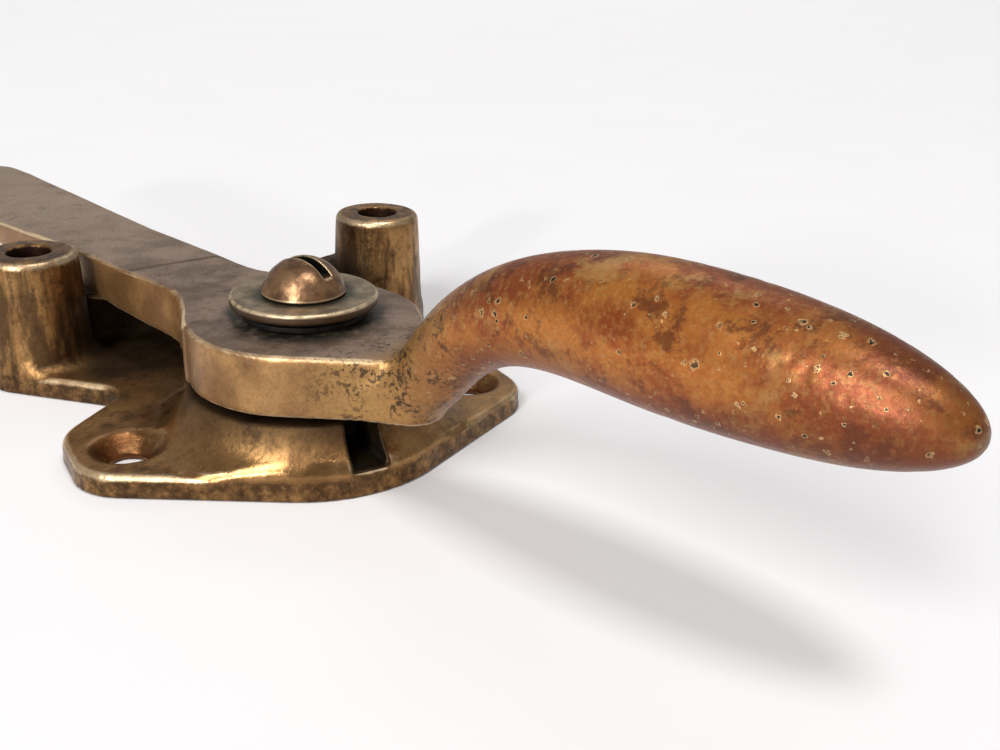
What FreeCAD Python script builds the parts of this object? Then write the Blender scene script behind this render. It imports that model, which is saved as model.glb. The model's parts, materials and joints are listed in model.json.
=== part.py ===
import FreeCAD, Part
import math
import os

# Cockspur window handle: a cast base screwed to the frame, and a cast lever that swings on its pivot.
# Millimetres. Origin: the pivot axis where it meets the mounting face (z = 0). +X is parallel to the
# line of the two flange screws, +Y runs from the pivot towards the two tall bosses, +Z out of the window frame.

Vec = FreeCAD.Vector
UP = Vec(0, 0, 1)

# ---- base plate
FLANGE_T = 3.6              # plate thickness
FLANGE_ROUND = 1.3          # rounded upper edge of the rim
PLATE_X = 0.7               # the ears' centre line is a little to +X of the pivot
FRONT_R = 20.5              # round front of the plate
FRONT_DEG = 30.0            # slope of the straight front edges, back towards the ears
EAR_HALF_X = 34.2           # half the width over the two ears
EAR_BACK_Y = 10.6
EAR_ROUND = 8.5
WAIST_X = 22.2              # inner corners between the ears and the arms
WAIST_Y = 22.2
WAIST_ROUND = 3.5
FLANGE_HOLE_X = 26.4        # flange screws, either side of the ears' centre line
FLANGE_HOLE_Y = 2.1
FLANGE_HOLE_R = 2.6         # clearance for a No. 8 wood screw
CSK_R = 5.2                 # countersink at the surface
CSK_DEPTH = 2.6
# ---- pivot dome
DOME_TOP_Z = 9.8
DOME_TOP_R = 16.9
SKIRT_DEG = 72.0            # slope of the skirt from the horizontal
SKIRT_FILLET = 4.5          # sweep of the skirt into the flange
NOTCH_X = 1.2               # drain notch through the front of the skirt
NOTCH_W = 4.6
NOTCH_BACK_R = 9.5          # inner end of the notch
NOTCH_FLOOR_Z = 4.0
# ---- tall bosses, the web between them and the rib that joins them to the dome
BOSS_X = 29.8
BOSS_Y = 42.3
BOSS_H = 21.2               # above the hub's top, so that the bosses stop the spur
BOSS_TOP_R = 7.5
BOSS_FOOT_R = 8.6
BOSS_HOLE_R = 3.25          # clearance for a 1/4 in screw
BOSS_RIM = 1.2
WEB_Z = 12.0                # the spur sweeps just over the web
WEB_Y = 45.6                # front face of the web
WEB_DIP = 3.0               # the web's top dips in an arc between the bosses
WEB_DIP_HALF_W = 21.0
RIB_Z = 8.6
RIB_HALF_W = 8.5
# ---- pivot stack, from the dome upwards
SCREW_R = 3.175             # 1/4 in screw
SCREW_CLEAR = 0.06
BUSH_R = 5.0
RUNNING_GAP = 0.05          # between the bush and the lever's bore
FRICTION_T = 0.5
FRICTION_R = 13.0
LEVER_Z = 10.4              # underside of the hub and spur
LEVER_T = 9.1               # thickness of the hub
SPRING_T = 0.8
SPRING_R = 8.8
SPRING_GAP = 0.08
WASHER_Z = 21.1             # underside of the retaining washer, which is the top of the bush
WASHER_T = 1.65
WASHER_R = 10.35
HEAD_R = 6.0
HEAD_H = 5.2
SLOT_W = 1.5
SLOT_DEPTH = 2.3
SLOT_DEG = -62.0
SCREW_HOLE_END_Z = 2.0      # the screw's hole is blind, so the mounting face is whole at the origin
SCREW_END_Z = 2.6
# ---- lever: hub, spur and grip, all one casting
HUB_R = 16.7
REST_DEG = 15.5             # at rest the spur leans this far from +Y, close to the -X boss
SPUR_LEN = 123.0            # pivot to the end of the spur
SPUR_NOSE = 7.0             # chamfer at the end corners
SPUR_TAPER_Y = 20.0         # the underside rises from here to the end
SPUR_ROOT_T = 8.6
SPUR_END_T = 3.0
BEVEL_X = -9.1              # a bevel starts at this point of the -X top edge
BEVEL_Y = 54.0
BEVEL_WIDEN = 0.13          # its gain in width per millimetre
BEVEL_DROP = 0.23           # its fall per millimetre across
SHOULDER_X = 14.9           # where the shoulders leave the hub
SHOULDER_Y = 7.5
GRIP_CRANK_DEG = 4.5        # the grip is cranked this far off the spur's line
NECK_ROOT_Y = 20.5          # centre of the round end that the hub tapers to
NECK_ROOT_R = 4.2
NECK_R = 5.1
NECK_END = 22.0             # distance from the pivot where the grip starts to swell
BELLY_R = 8.5
BELLY_AT = 62.0
BELLY_Z = 31.6
TIP_AT = 94.4
NOSE_POWER = 2.3            # 2 is an ellipse; more makes a blunter nose

TOP_Z = LEVER_Z + LEVER_T
BACK_Y = BOSS_Y + BOSS_FOOT_R   # rear edge, tangent to both bosses

# Sides of the spur from the shoulders outwards, as (side, distance from the pivot, corner radius).
SPUR_RIGHT = [(SHOULDER_X, SHOULDER_Y, 0.5), (7.4, 22.5, 12.0), (7.4, 54.0, 30.0), (9.9, 106.0, 30.0)]
SPUR_LEFT = [(-SHOULDER_X, SHOULDER_Y, 0.5), (-8.3, 20.7, 12.0), (BEVEL_X, 38.0, 30.0), (BEVEL_X, BEVEL_Y, 30.0),
             (-10.4, 78.0, 30.0)]

# Centre line of the neck and grip, as (distance from the pivot, height).
GRIP_LINE = [(14.0, 14.2), (20.5, 14.4), (28.0, 21.4), (36.0, 27.7), (46.0, 30.8), (BELLY_AT, BELLY_Z),
             (79.0, 31.1), (TIP_AT, 30.2)]


def rounded_outline(corners):
    """Closed wire through (x, y, radius) corners, each rounded to its own radius."""
    count = len(corners)
    points = [Vec(x, y, 0) for x, y, radius in corners]
    edges = []
    previous = None
    first = None
    for i in range(count):
        here = points[i]
        to_last = (points[i - 1] - here).normalize()
        to_next = (points[(i + 1) % count] - here).normalize()
        half = to_last.getAngle(to_next) / 2
        reach = corners[i][2] / math.tan(half)
        bisector = (to_last + to_next).normalize()
        start = here + to_last * reach
        end = here + to_next * reach
        middle = here + bisector * (corners[i][2] / math.sin(half) - corners[i][2])
        if previous is not None:
            edges.append(Part.LineSegment(previous, start).toShape())
        else:
            first = start
        edges.append(Part.Arc(start, middle, end).toShape())
        previous = end
    edges.append(Part.LineSegment(previous, first).toShape())
    return Part.Wire(edges)


def prism(wire, z, height):
    face = Part.Face(wire)
    face.translate(Vec(0, 0, z))
    return face.extrude(Vec(0, 0, height))


def ring(inner, outer, z, height):
    return Part.makeCylinder(outer, height, Vec(0, 0, z)).cut(Part.makeCylinder(inner, height, Vec(0, 0, z)))


def revolved(profile):
    """Solid of revolution about +Z from (radius, z) points joined by straight lines."""
    points = [Vec(radius, 0, z) for radius, z in profile]
    points.append(points[0])
    return Part.Face(Part.makePolygon(points)).revolve(Vec(0, 0, 0), UP, 360)


def edges_at(shape, z):
    return [e for e in shape.Edges if abs(e.BoundBox.ZMin - z) < 1e-4 and abs(e.BoundBox.ZMax - z) < 1e-4]


# ------------------------------------------------------------------ base plate
def plate_outline():
    """Plan of the base: two ears, a waist, and arms whose edges run tangent to the boss feet."""
    front_corner_y = -FRONT_R / math.cos(math.radians(FRONT_DEG))
    ear_front_y = front_corner_y + EAR_HALF_X * math.tan(math.radians(FRONT_DEG))
    sides = {}
    for side in (1, -1):
        waist_x = side * WAIST_X + PLATE_X
        from_waist = Vec(BOSS_X - side * waist_x, BOSS_Y - WAIST_Y, 0)
        lean = math.atan2(from_waist.y, from_waist.x) - math.asin(BOSS_FOOT_R / from_waist.Length)
        arm_y = WAIST_Y + math.tan(lean) * (from_waist.x + BOSS_FOOT_R)
        sides[side] = [
            (side * EAR_HALF_X + PLATE_X, ear_front_y, EAR_ROUND),
            (side * EAR_HALF_X + PLATE_X, EAR_BACK_Y, EAR_ROUND),
            (waist_x, WAIST_Y, WAIST_ROUND),
            (side * (BOSS_X + BOSS_FOOT_R), arm_y, BOSS_FOOT_R),
            (side * (BOSS_X + BOSS_FOOT_R), BACK_Y, BOSS_FOOT_R - 0.1),
        ]
    return rounded_outline([(PLATE_X, front_corner_y, FRONT_R)] + sides[1] + sides[-1][::-1])


def dome():
    """Conical skirt that sweeps out into the flange, ready to be trimmed to the plate's outline."""
    slope = math.radians(SKIRT_DEG)
    foot_r = DOME_TOP_R + (DOME_TOP_Z - FLANGE_T) / math.tan(slope)
    reach = SKIRT_FILLET * math.tan(slope / 2)
    centre = Vec(foot_r + reach, 0, FLANGE_T + SKIRT_FILLET)
    upper = Vec(foot_r - reach * math.cos(slope), 0, FLANGE_T + reach * math.sin(slope))
    lower = Vec(centre.x, 0, FLANGE_T)
    turn = math.radians(270 - SKIRT_DEG / 2)
    middle = centre + Vec(math.cos(turn), 0, math.sin(turn)) * SKIRT_FILLET
    base = Vec(centre.x, 0, 0)
    top = Vec(DOME_TOP_R, 0, DOME_TOP_Z)
    edges = [
        Part.LineSegment(Vec(0, 0, 0), Vec(0, 0, DOME_TOP_Z)).toShape(),
        Part.LineSegment(Vec(0, 0, DOME_TOP_Z), top).toShape(),
        Part.LineSegment(top, upper).toShape(),
        Part.Arc(upper, middle, lower).toShape(),
        Part.LineSegment(lower, base).toShape(),
        Part.LineSegment(base, Vec(0, 0, 0)).toShape(),
    ]
    return Part.Face(Part.Wire(edges)).revolve(Vec(0, 0, 0), UP, 360)


def boss(side):
    post = Part.makeCone(BOSS_FOOT_R, BOSS_TOP_R, BOSS_H, Vec(side * BOSS_X, BOSS_Y, 0))
    return post.makeFillet(BOSS_RIM, edges_at(post, BOSS_H))


def base_plate():
    outline = plate_outline()
    plate = prism(outline, 0, FLANGE_T)
    plate = plate.makeFillet(FLANGE_ROUND, edges_at(plate, FLANGE_T))
    body = plate.fuse(dome().common(prism(outline, 0, DOME_TOP_Z)))
    for side in (-1, 1):
        body = body.fuse(boss(side))
    web = Part.makeBox(2 * BOSS_X, BACK_Y - WEB_Y, WEB_Z, Vec(-BOSS_X, WEB_Y, 0))
    dip_r = (WEB_DIP_HALF_W ** 2 + WEB_DIP ** 2) / (2 * WEB_DIP)
    web = web.cut(Part.makeCylinder(dip_r, BACK_Y, Vec(0, 0, WEB_Z - WEB_DIP + dip_r), Vec(0, 1, 0)))
    rib = Part.makeBox(2 * RIB_HALF_W, WEB_Y, RIB_Z, Vec(-RIB_HALF_W, 0.5, 0))
    body = body.fuse(web).fuse(rib)
    for side in (-1, 1):
        hole = Part.makeCylinder(BOSS_HOLE_R, BOSS_H, Vec(side * BOSS_X, BOSS_Y, 0))
        ear = Vec(side * FLANGE_HOLE_X + PLATE_X, FLANGE_HOLE_Y, 0)
        sink = Part.makeCone(FLANGE_HOLE_R, CSK_R, CSK_DEPTH, ear + UP * (FLANGE_T - CSK_DEPTH))
        above = Part.makeCylinder(CSK_R, DOME_TOP_Z, ear + UP * FLANGE_T)
        through = Part.makeCylinder(FLANGE_HOLE_R, FLANGE_T, ear)
        body = body.cut(hole).cut(through).cut(sink).cut(above)
    body = body.cut(Part.makeCylinder(SCREW_R + SCREW_CLEAR, DOME_TOP_Z, UP * SCREW_HOLE_END_Z))
    notch = Part.makeBox(NOTCH_W, FRONT_R, DOME_TOP_Z,
                         Vec(NOTCH_X - NOTCH_W / 2, -FRONT_R - NOTCH_BACK_R, NOTCH_FLOOR_Z))
    return body.cut(notch).removeSplitter()


# ------------------------------------------------------------------ pivot stack
def pivot_bush():
    return ring(SCREW_R + SCREW_CLEAR, BUSH_R, DOME_TOP_Z, WASHER_Z - DOME_TOP_Z)


def friction_washer():
    return ring(BUSH_R + RUNNING_GAP, FRICTION_R, DOME_TOP_Z, FRICTION_T)


def spring_washer():
    """Dished spring washer: its outer rim bears on the hub, its inner rim on the retaining washer."""
    low = TOP_Z + SPRING_GAP
    high = WASHER_Z
    inner = BUSH_R + 2 * RUNNING_GAP
    return revolved([(inner, high - SPRING_T), (inner, high), (SPRING_R, low + SPRING_T), (SPRING_R, low)])


def retaining_washer():
    washer = ring(SCREW_R + SCREW_CLEAR, WASHER_R, WASHER_Z, WASHER_T)
    rims = [e for e in washer.Edges if abs(e.BoundBox.XMax - WASHER_R) < 1e-3 and e.BoundBox.ZLength < 1e-3]
    return washer.makeFillet(0.4, rims)


def pivot_screw():
    """Slotted round-head screw, threaded into the base."""
    seat = WASHER_Z + WASHER_T
    sphere_r = (HEAD_R ** 2 + HEAD_H ** 2) / (2 * HEAD_H)
    ball = Part.makeSphere(sphere_r, Vec(0, 0, seat + HEAD_H - sphere_r))
    head = ball.common(Part.makeCylinder(HEAD_R + 1, HEAD_H, Vec(0, 0, seat)))
    shank = Part.makeCylinder(SCREW_R, seat - SCREW_END_Z, Vec(0, 0, SCREW_END_Z))
    shank = shank.makeChamfer(0.6, edges_at(shank, SCREW_END_Z))
    slot_corner = Vec(-1.5 * HEAD_R, -SLOT_W / 2, seat + HEAD_H - SLOT_DEPTH)
    slot = Part.makeBox(3 * HEAD_R, SLOT_W, SLOT_DEPTH, slot_corner)
    slot.rotate(Vec(0, 0, 0), UP, SLOT_DEG)
    return head.fuse(shank).removeSplitter().cut(slot)


# ------------------------------------------------------------------ lever
def spur_outline():
    """Plan of the shoulders and the spur, which lies along +Y and ends in a chamfered nose."""
    right = SPUR_RIGHT[-1][0]
    left = SPUR_LEFT[-1][0]
    nose = [(right, SPUR_LEN - SPUR_NOSE, 6.0), (right - SPUR_NOSE, SPUR_LEN, 3.0),
            (left + SPUR_NOSE, SPUR_LEN, 3.0), (left, SPUR_LEN - SPUR_NOSE, 6.0)]
    return rounded_outline(SPUR_RIGHT + nose + SPUR_LEFT[::-1])


def spur():
    """Bar that gets thinner towards its end, with a bevel along the -X top edge; full-height shoulders."""
    outline = spur_outline()
    bar = prism(outline, TOP_Z - SPUR_ROOT_T, SPUR_ROOT_T)
    end_y = SPUR_LEN + 1
    rise = SPUR_ROOT_T - SPUR_END_T
    below = [Vec(-SPUR_LEN, SPUR_TAPER_Y, TOP_Z - SPUR_ROOT_T), Vec(-SPUR_LEN, end_y, TOP_Z - SPUR_END_T),
             Vec(-SPUR_LEN, end_y, TOP_Z - SPUR_ROOT_T - rise)]
    bar = bar.cut(Part.Face(Part.makePolygon(below + below[:1])).extrude(Vec(2 * SPUR_LEN, 0, 0)))
    start = Vec(BEVEL_X, BEVEL_Y, TOP_Z)
    length = end_y - BEVEL_Y
    width = 2 * SPUR_LEN
    corners = [start, start + Vec(BEVEL_WIDEN * length, length, 0)]
    corners += [corners[1] - Vec(width, 0, BEVEL_DROP * width), start - Vec(width, 0, BEVEL_DROP * width)]
    bar = bar.cut(Part.Face(Part.makePolygon(corners + corners[:1])).extrude(UP * width))
    shoulder = prism(outline, LEVER_Z, LEVER_T)
    shoulder = shoulder.common(Part.makeBox(2 * HUB_R, SPUR_TAPER_Y, LEVER_T, Vec(-HUB_R, 0, LEVER_Z)))
    return bar.fuse(shoulder)


def hub():
    """Disc that tapers in plan to a small round end under the neck."""
    disc = Part.makeCylinder(HUB_R, LEVER_T, Vec(0, 0, LEVER_Z))
    root = Part.makeCylinder(NECK_ROOT_R, LEVER_T, Vec(0, -NECK_ROOT_Y, LEVER_Z))
    lean = math.acos((HUB_R - NECK_ROOT_R) / NECK_ROOT_Y)
    across = math.sin(lean)
    along = -math.cos(lean)
    near = [Vec(HUB_R * across, HUB_R * along, LEVER_Z),
            Vec(NECK_ROOT_R * across, NECK_ROOT_R * along - NECK_ROOT_Y, LEVER_Z)]
    far = [Vec(-p.x, p.y, p.z) for p in reversed(near)]
    flank = Part.Face(Part.makePolygon(near + far + near[:1])).extrude(UP * LEVER_T)
    return disc.fuse(root).fuse(flank)


def grip_radius(distance):
    """Radius of the grip: an even neck, a smooth swell to the belly, then a rounded nose."""
    if distance >= BELLY_AT:
        along = (distance - BELLY_AT) / (TIP_AT - BELLY_AT)
        return BELLY_R * math.sqrt(max(1 - along ** NOSE_POWER, 0))
    along = max((distance - NECK_END) / (BELLY_AT - NECK_END), 0)
    return NECK_R + (BELLY_R - NECK_R) * along * along * (3 - 2 * along)


def grip():
    """S-shaped neck and torpedo-shaped grip, lofted along a curved centre line towards -Y."""
    line = Part.BSplineCurve()
    line.interpolate([Vec(0, -distance, z) for distance, z in GRIP_LINE])
    body_steps = 22
    nose_steps = 9
    last = line.LastParameter
    belly = line.parameter(Vec(0, -BELLY_AT, BELLY_Z))
    stops = [belly * i / body_steps for i in range(body_steps)]
    for i in range(nose_steps):
        stops.append(belly + (last - belly) * math.sin(math.pi / 2 * i / nose_steps))
    sections = []
    for stop in stops:
        centre = line.value(stop)
        circle = Part.Circle(centre, line.tangent(stop)[0], grip_radius(-centre.y))
        sections.append(Part.Wire(circle.toShape()))
    sections.append(Part.Vertex(line.value(last)))
    return Part.makeLoft(sections, True, False)


def lever():
    reach = 60
    handle = grip()
    handle = handle.cut(Part.makeBox(reach, reach, reach, Vec(-reach / 2, -reach / 2, LEVER_Z - reach)))
    handle = handle.cut(Part.makeBox(reach, reach, reach, Vec(-reach / 2, -HUB_R, TOP_Z)))
    cranked = hub().fuse(handle)
    cranked.rotate(Vec(0, 0, 0), UP, GRIP_CRANK_DEG)
    body = cranked.fuse(spur())
    body = body.cut(Part.makeCylinder(BUSH_R + RUNNING_GAP, reach))
    body.rotate(Vec(0, 0, 0), UP, REST_DEG)
    return body.removeSplitter()


PARTS = {
    "base_plate": base_plate,
    "pivot_bush": pivot_bush,
    "friction_washer": friction_washer,
    "lever": lever,
    "spring_washer": spring_washer,
    "retaining_washer": retaining_washer,
    "pivot_screw": pivot_screw,
}

os.makedirs("parts", exist_ok=True)
for name, make in PARTS.items():
    shape = make()
    print(name, shape.isValid(), len(shape.Solids), round(shape.Volume, 1))
    shape.exportStep("parts/" + name + ".step")
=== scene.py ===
import json
import math

import bpy
import numpy as np
from mathutils import Euler, Matrix, Vector, kdtree


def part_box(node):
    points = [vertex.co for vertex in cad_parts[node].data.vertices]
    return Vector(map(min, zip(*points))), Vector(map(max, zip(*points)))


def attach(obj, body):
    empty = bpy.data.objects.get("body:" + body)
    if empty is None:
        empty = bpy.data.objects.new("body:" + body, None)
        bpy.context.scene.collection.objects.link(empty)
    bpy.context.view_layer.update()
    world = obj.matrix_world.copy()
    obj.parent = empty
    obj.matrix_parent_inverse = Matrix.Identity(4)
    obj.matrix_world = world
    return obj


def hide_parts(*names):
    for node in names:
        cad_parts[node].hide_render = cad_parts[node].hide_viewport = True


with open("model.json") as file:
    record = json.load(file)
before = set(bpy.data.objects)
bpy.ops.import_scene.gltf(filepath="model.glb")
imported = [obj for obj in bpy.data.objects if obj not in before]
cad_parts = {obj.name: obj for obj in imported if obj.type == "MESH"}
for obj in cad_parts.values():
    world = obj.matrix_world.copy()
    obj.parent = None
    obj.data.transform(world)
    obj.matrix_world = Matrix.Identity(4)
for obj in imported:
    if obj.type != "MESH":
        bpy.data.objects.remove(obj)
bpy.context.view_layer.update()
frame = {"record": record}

# Aged brass cockspur window handle. Shapes are worked out in millimetres in the frame of the packed
# part, with the pivot along +Z and the mounting face at z = 0, and meshes are scaled to metres.
MM = 0.001


def low(node):
    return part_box(node)[0] / MM


def high(node):
    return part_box(node)[1] / MM


MOUNT_DIMS = {mount["name"]: mount["dims"] for mount in frame["record"]["mounts"]}
MOUNT_AT = {mount["name"]: mount["pos_m"] for mount in frame["record"]["mounts"]}

# ---- sizes from the frame
DOME_TOP_Z = low("friction_washer").z
LEVER_Z = low("lever").z
BOSS_H = high("base_plate").z
BACK_Y = high("base_plate").y
WASHER_Z = low("retaining_washer").z
SEAT_Z = high("retaining_washer").z
WASHER_R = high("retaining_washer").x
BUSH_R = high("pivot_bush").x
FRICTION_TOP_Z = high("friction_washer").z
FRICTION_R = high("friction_washer").x
SPRING_Z = low("spring_washer").z
SPRING_R = high("spring_washer").x
SCREW_END_Z = low("pivot_screw").z
SCREW_TOP_Z = high("pivot_screw").z
HEAD_R = high("pivot_screw").x
FLANGE_HOLE_X = MOUNT_DIMS["flange_screws"]["spacing_x_mm"] / 2
FLANGE_HOLE_R = MOUNT_DIMS["flange_screws"]["hole_r_mm"]
PLATE_X = MOUNT_AT["flange_screws"][0] / MM      # centre line of the ears
FLANGE_HOLE_Y = MOUNT_AT["flange_screws"][1] / MM
BOSS_X = MOUNT_DIMS["boss_screws"]["spacing_x_mm"] / 2
BOSS_HOLE_R = MOUNT_DIMS["boss_screws"]["hole_r_mm"]
BOSS_Y = MOUNT_AT["boss_screws"][1] / MM

# ---- base plate
FLANGE_T = 3.6
FLANGE_ROUND = 1.2
FRONT_R = 20.5
FRONT_DEG = 30.0
EAR_HALF_X = 34.2
EAR_BACK_Y = 10.6
EAR_ROUND = 8.5
WAIST_X = 22.2
WAIST_Y = 22.2
WAIST_ROUND = 3.5
CSK_R = 5.2
CSK_DEPTH = 2.6
DOME_TOP_R = 16.9
SKIRT_DEG = 72.0
SKIRT_FILLET = 4.5
NOTCH_X = 1.2
NOTCH_W = 4.6
NOTCH_BACK_R = 9.5
NOTCH_FLOOR_Z = 4.0
BOSS_TOP_R = 7.5
BOSS_FOOT_R = 8.6
BOSS_FILLET = 2.2
WEB_Z = 12.0
WEB_Y = 45.6
WEB_DIP = 3.0
WEB_DIP_HALF_W = 21.0
RIB_Z = 8.6
RIB_HALF_W = 8.5
# ---- lever, drawn with the grip along -Y and the spur turned off +Y by the crank
HUB_R = 16.7
HUB_EDGE = 0.9
SPRING_GAP = 0.08
TOP_Z = SPRING_Z - SPRING_GAP
REST_DEG = 15.5
CRANK_DEG = 4.5
SPUR_LEN = 123.0
SPUR_NOSE = 7.0
SPUR_TAPER_Y = 20.0          # the underside rises from here to the end
SPUR_ROOT_T = 8.6
SPUR_END_T = 3.0
BEVEL_X = -9.1               # a bevel widens from this point along the -X top edge
BEVEL_Y = 54.0
BEVEL_WIDEN = 0.13
BEVEL_DROP = 0.23
SHOULDER_X = 14.9            # the shoulders between the hub and the spur are as thick as the hub
SHOULDER_Y = 7.5
# Sides of the spur from the shoulders outwards, as (side, distance from the pivot, corner radius).
SPUR_RIGHT = [(SHOULDER_X, SHOULDER_Y, 0.5), (7.4, 22.5, 12.0), (7.4, 54.0, 30.0), (9.9, 106.0, 30.0)]
SPUR_LEFT = [(-SHOULDER_X, SHOULDER_Y, 0.5), (-8.3, 20.7, 12.0), (BEVEL_X, 38.0, 30.0),
             (BEVEL_X, BEVEL_Y, 30.0), (-10.4, 78.0, 30.0)]
SPUR_FILLET = 1.5
SCRIBE_Y = 33.0              # an old scratch across the top of the spur
NECK_ROOT_Y = 20.5
NECK_ROOT_R = 4.2
NECK_R = 5.1
NECK_END = 22.0
BELLY_R = 8.5
BELLY_AT = 62.0
BELLY_Z = 31.6
TIP_AT = 94.4
NOSE_POWER = 2.3
# Centre line of the neck and grip, as (distance from the pivot, height).
GRIP_LINE = [(14.0, 14.2), (20.5, 14.4), (28.0, 21.4), (36.0, 27.7), (46.0, 30.8), (BELLY_AT, BELLY_Z),
             (79.0, 31.1), (TIP_AT, 30.2)]
RING_EDGE = 0.12             # rounding of the hidden rings' edges
# ---- pivot screw
SCREW_R = 3.175
SCREW_HOLE_GAP = 0.6         # between the screw's end and the floor of its hole
SLOT_W = 1.5
SLOT_DEPTH = 2.3
SLOT_DEG = -62.0
# ---- surface of the old castings
SKIN = 0.10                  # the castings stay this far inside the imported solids
LUMP = 0.16                  # slow unevenness of the cast faces
BASE_CELL = 0.38             # sample spacing of the meshes
LEVER_CELL = 0.42
SCREW_CELL = 0.14
PROBE = 2.4                  # how far inner corners are felt for, out from a surface


# ------------------------------------------------------------------ distance fields
def union(a, b, fillet):
    """Both shapes, with a round fillet where they meet. It bulges a little past a face they share."""
    gap = np.hypot(np.maximum(fillet - a, 0), np.maximum(fillet - b, 0))
    return np.maximum(fillet, np.minimum(a, b)) - gap


def overlap(a, b, edge):
    """What both shapes share, with a rounded edge where they meet."""
    gap = np.hypot(np.maximum(edge + a, 0), np.maximum(edge + b, 0))
    return np.minimum(-edge, np.maximum(a, b)) + gap


def polygon(x, y, points):
    """Signed distance in plan to a closed polygon."""
    nearest = np.full(np.broadcast(x, y).shape, 1e9, dtype=np.float32)
    inside = np.zeros(nearest.shape, dtype=bool)
    for (ax, ay), (bx, by) in zip(points, points[1:] + points[:1]):
        along = ((x - ax) * (bx - ax) + (y - ay) * (by - ay)) / ((bx - ax) ** 2 + (by - ay) ** 2)
        along = np.clip(along, 0, 1)
        nearest = np.minimum(nearest, np.hypot(x - ax - along * (bx - ax), y - ay - along * (by - ay)))
        if ay != by:
            crossing = ax + (y - ay) * (bx - ax) / (by - ay)
            inside ^= ((ay > y) != (by > y)) & (x < crossing)
    return np.where(inside, -nearest, nearest)


def rounded(corners, steps=10):
    """Points of an outline given as (x, y, radius) corners."""
    points = []
    for i, (x, y, radius) in enumerate(corners):
        here = Vector((x, y))
        to_last = (Vector(corners[i - 1][:2]) - here).normalized()
        to_next = (Vector(corners[(i + 1) % len(corners)][:2]) - here).normalized()
        half = to_last.angle(to_next) / 2
        centre = here + (to_last + to_next).normalized() * radius / math.sin(half)
        start = here + to_last * radius / math.tan(half) - centre
        turn = math.copysign(math.pi - 2 * half, to_next.cross(to_last))
        for step in range(steps + 1):
            angle = math.atan2(start.y, start.x) + turn * step / steps
            points.append((centre.x + radius * math.cos(angle), centre.y + radius * math.sin(angle)))
    return points


def turned(x, y, degrees):
    """Coordinates in axes turned by this angle about +Z."""
    c = math.cos(math.radians(degrees))
    s = math.sin(math.radians(degrees))
    return x * c + y * s, y * c - x * s


# ------------------------------------------------------------------ meshing
def surface_net(field, origin, cell):
    """Points and quads of the zero surface of a sampled field."""
    inside = field < 0
    corners = [(i, j, k) for i in (0, 1) for j in (0, 1) for k in (0, 1)]
    size = [n - 1 for n in field.shape]
    count = np.zeros(size, dtype=np.int8)
    for i, j, k in corners:
        count += inside[i:i + size[0], j:j + size[1], k:k + size[2]]
    cells = np.argwhere((count > 0) & (count < 8))
    index = np.full(size, -1, dtype=np.int32)
    index[tuple(cells.T)] = np.arange(len(cells))
    total = np.zeros(cells.shape)
    hits = np.zeros(len(cells))
    for axis in range(3):
        for a in corners:
            if a[axis]:
                continue
            b = tuple(1 if n == axis else a[n] for n in range(3))
            value_a = field[tuple((cells + a).T)]
            value_b = field[tuple((cells + b).T)]
            crossed = (value_a < 0) != (value_b < 0)
            share = value_a[crossed] / (value_a[crossed] - value_b[crossed])
            total[crossed] += a
            total[crossed, axis] += share
            hits[crossed] += 1
    points = (cells + total / hits[:, None]) * cell + origin
    quads = []
    for axis in range(3):
        u, v = (axis + 1) % 3, (axis + 2) % 3
        ahead = np.moveaxis(inside, axis, 0)
        edges = np.argwhere(np.moveaxis(ahead[1:] != ahead[:-1], 0, axis))
        edges = edges[(edges[:, u] > 0) & (edges[:, v] > 0)]
        edges = edges[(edges[:, u] < size[u]) & (edges[:, v] < size[v])]
        ring = []
        for back_u, back_v in ((1, 1), (0, 1), (0, 0), (1, 0)):
            at = edges.copy()
            at[:, u] -= back_u
            at[:, v] -= back_v
            ring.append(index[tuple(at.T)])
        ring = np.stack(ring, axis=1)
        flip = ~inside[tuple(edges.T)]
        ring[flip] = ring[flip][:, ::-1]
        quads.append(ring)
    return points, np.concatenate(quads)


def sample(field, origin, cell, points):
    """The field's value at any points, by linear steps between its samples."""
    at = (points - origin) / cell
    at = np.clip(at, 0, np.array(field.shape) - 1.001)
    base = at.astype(int)
    part = at - base
    value = np.zeros(len(points))
    for i in (0, 1):
        for j in (0, 1):
            for k in (0, 1):
                weight = np.abs(1 - i - part[:, 0]) * np.abs(1 - j - part[:, 1]) * np.abs(1 - k - part[:, 2])
                value += weight * field[base[:, 0] + i, base[:, 1] + j, base[:, 2] + k]
    return value


def slope(field, origin, cell, points):
    """Unit outward direction of the field at the points."""
    step = np.eye(3) * cell
    rise = [sample(field, origin, cell, points + s) - sample(field, origin, cell, points - s) for s in step]
    rise = np.stack(rise, axis=1)
    return rise / np.maximum(np.linalg.norm(rise, axis=1, keepdims=True), 1e-9)


def edges_and_recesses(field, origin, cell, points, outward, step=0.7):
    """Per point, about 1 on a sharp outer edge and 1 deep in an inner corner, both 0 on a flat face."""
    tilted = np.where(np.abs(outward[:, 2:]) < 0.7, (0, 0, 1), (1, 0, 0))
    across = np.cross(outward, tilted)
    across /= np.linalg.norm(across, axis=1, keepdims=True)
    along = np.cross(outward, across)
    bend = 0
    for direction in (across, along):
        for side in (step, -step):
            bend = bend + sample(field, origin, cell, points + direction * side)
    recess = 1 - sample(field, origin, cell, points + outward * PROBE) / PROBE
    return np.clip(bend / step ** 2 * 0.8 - 0.16, 0, 1), recess


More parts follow.
